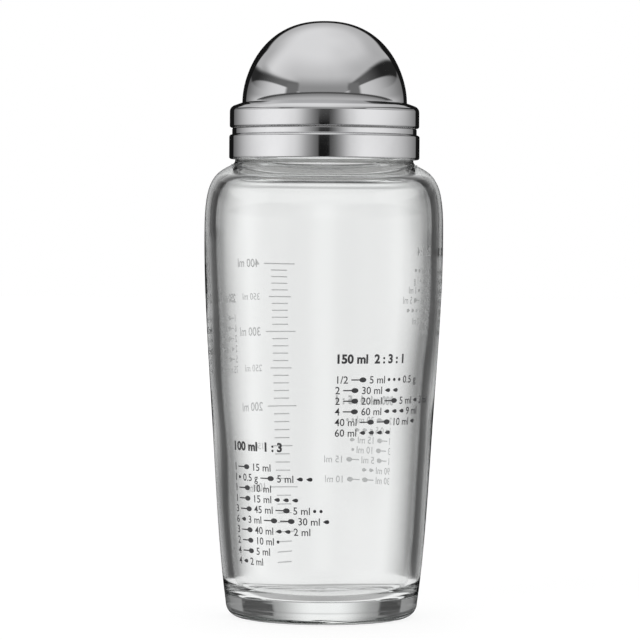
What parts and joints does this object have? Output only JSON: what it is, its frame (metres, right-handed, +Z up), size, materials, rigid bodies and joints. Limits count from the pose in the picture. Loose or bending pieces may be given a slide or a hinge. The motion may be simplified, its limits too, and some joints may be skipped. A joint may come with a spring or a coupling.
{
  "type": "salad dressing shaker bottle",
  "caption": "Tapered clear glass shaker bottle with a screw-on steel collar, strainer and push-on domed steel cap.",
  "frame": {"origin": "middle of the base, on the plane that the foot ring stands on", "axes": "+Z up along the bottle's axis, from the base to the top of the dome; the bottle is round about Z"},
  "size_m": [0.0818, 0.0818, 0.204],
  "materials": {
    "clear_glass": "clear, smooth, fire-polished",
    "polished_steel": "mirror-polished stainless steel",
    "satin_steel": "satin stainless steel",
    "moulded_plastic": "smooth moulded plastic, natural white",
    "silicone": "soft translucent silicone"
  },
  "bodies": {
    "bottle": {"glass_bottle": "clear_glass"},
    "gasket": {"neck_gasket": "silicone"},
    "collar": {"collar_shell": "polished_steel", "thread_insert": "moulded_plastic", "strainer": "satin_steel"},
    "cap": {"cap_dome": "polished_steel", "cap_band": "polished_steel", "cap_liner": "moulded_plastic", "cap_seal": "silicone"}
  },
  "joints": [
    {"name": "collar_lift", "type": "slide", "parent": "bottle", "child": "gasket", "axis": [0, 0, 1], "range_m": [0, 0.0166]},
    {"name": "collar_turn", "type": "hinge", "parent": "gasket", "child": "collar", "pos_m": [0, 0, 0.1702], "axis": [0, 0, 1], "range_deg": [0, 1080]},
    {"name": "cap_lift", "type": "slide", "parent": "collar", "child": "cap", "axis": [0, 0, 1], "range_m": [0, 0.032]}
  ],
  "couplings": [
    {"joint": "collar_lift", "follows": "collar_turn", "m_per_rad": 0.00087535}
  ]
}
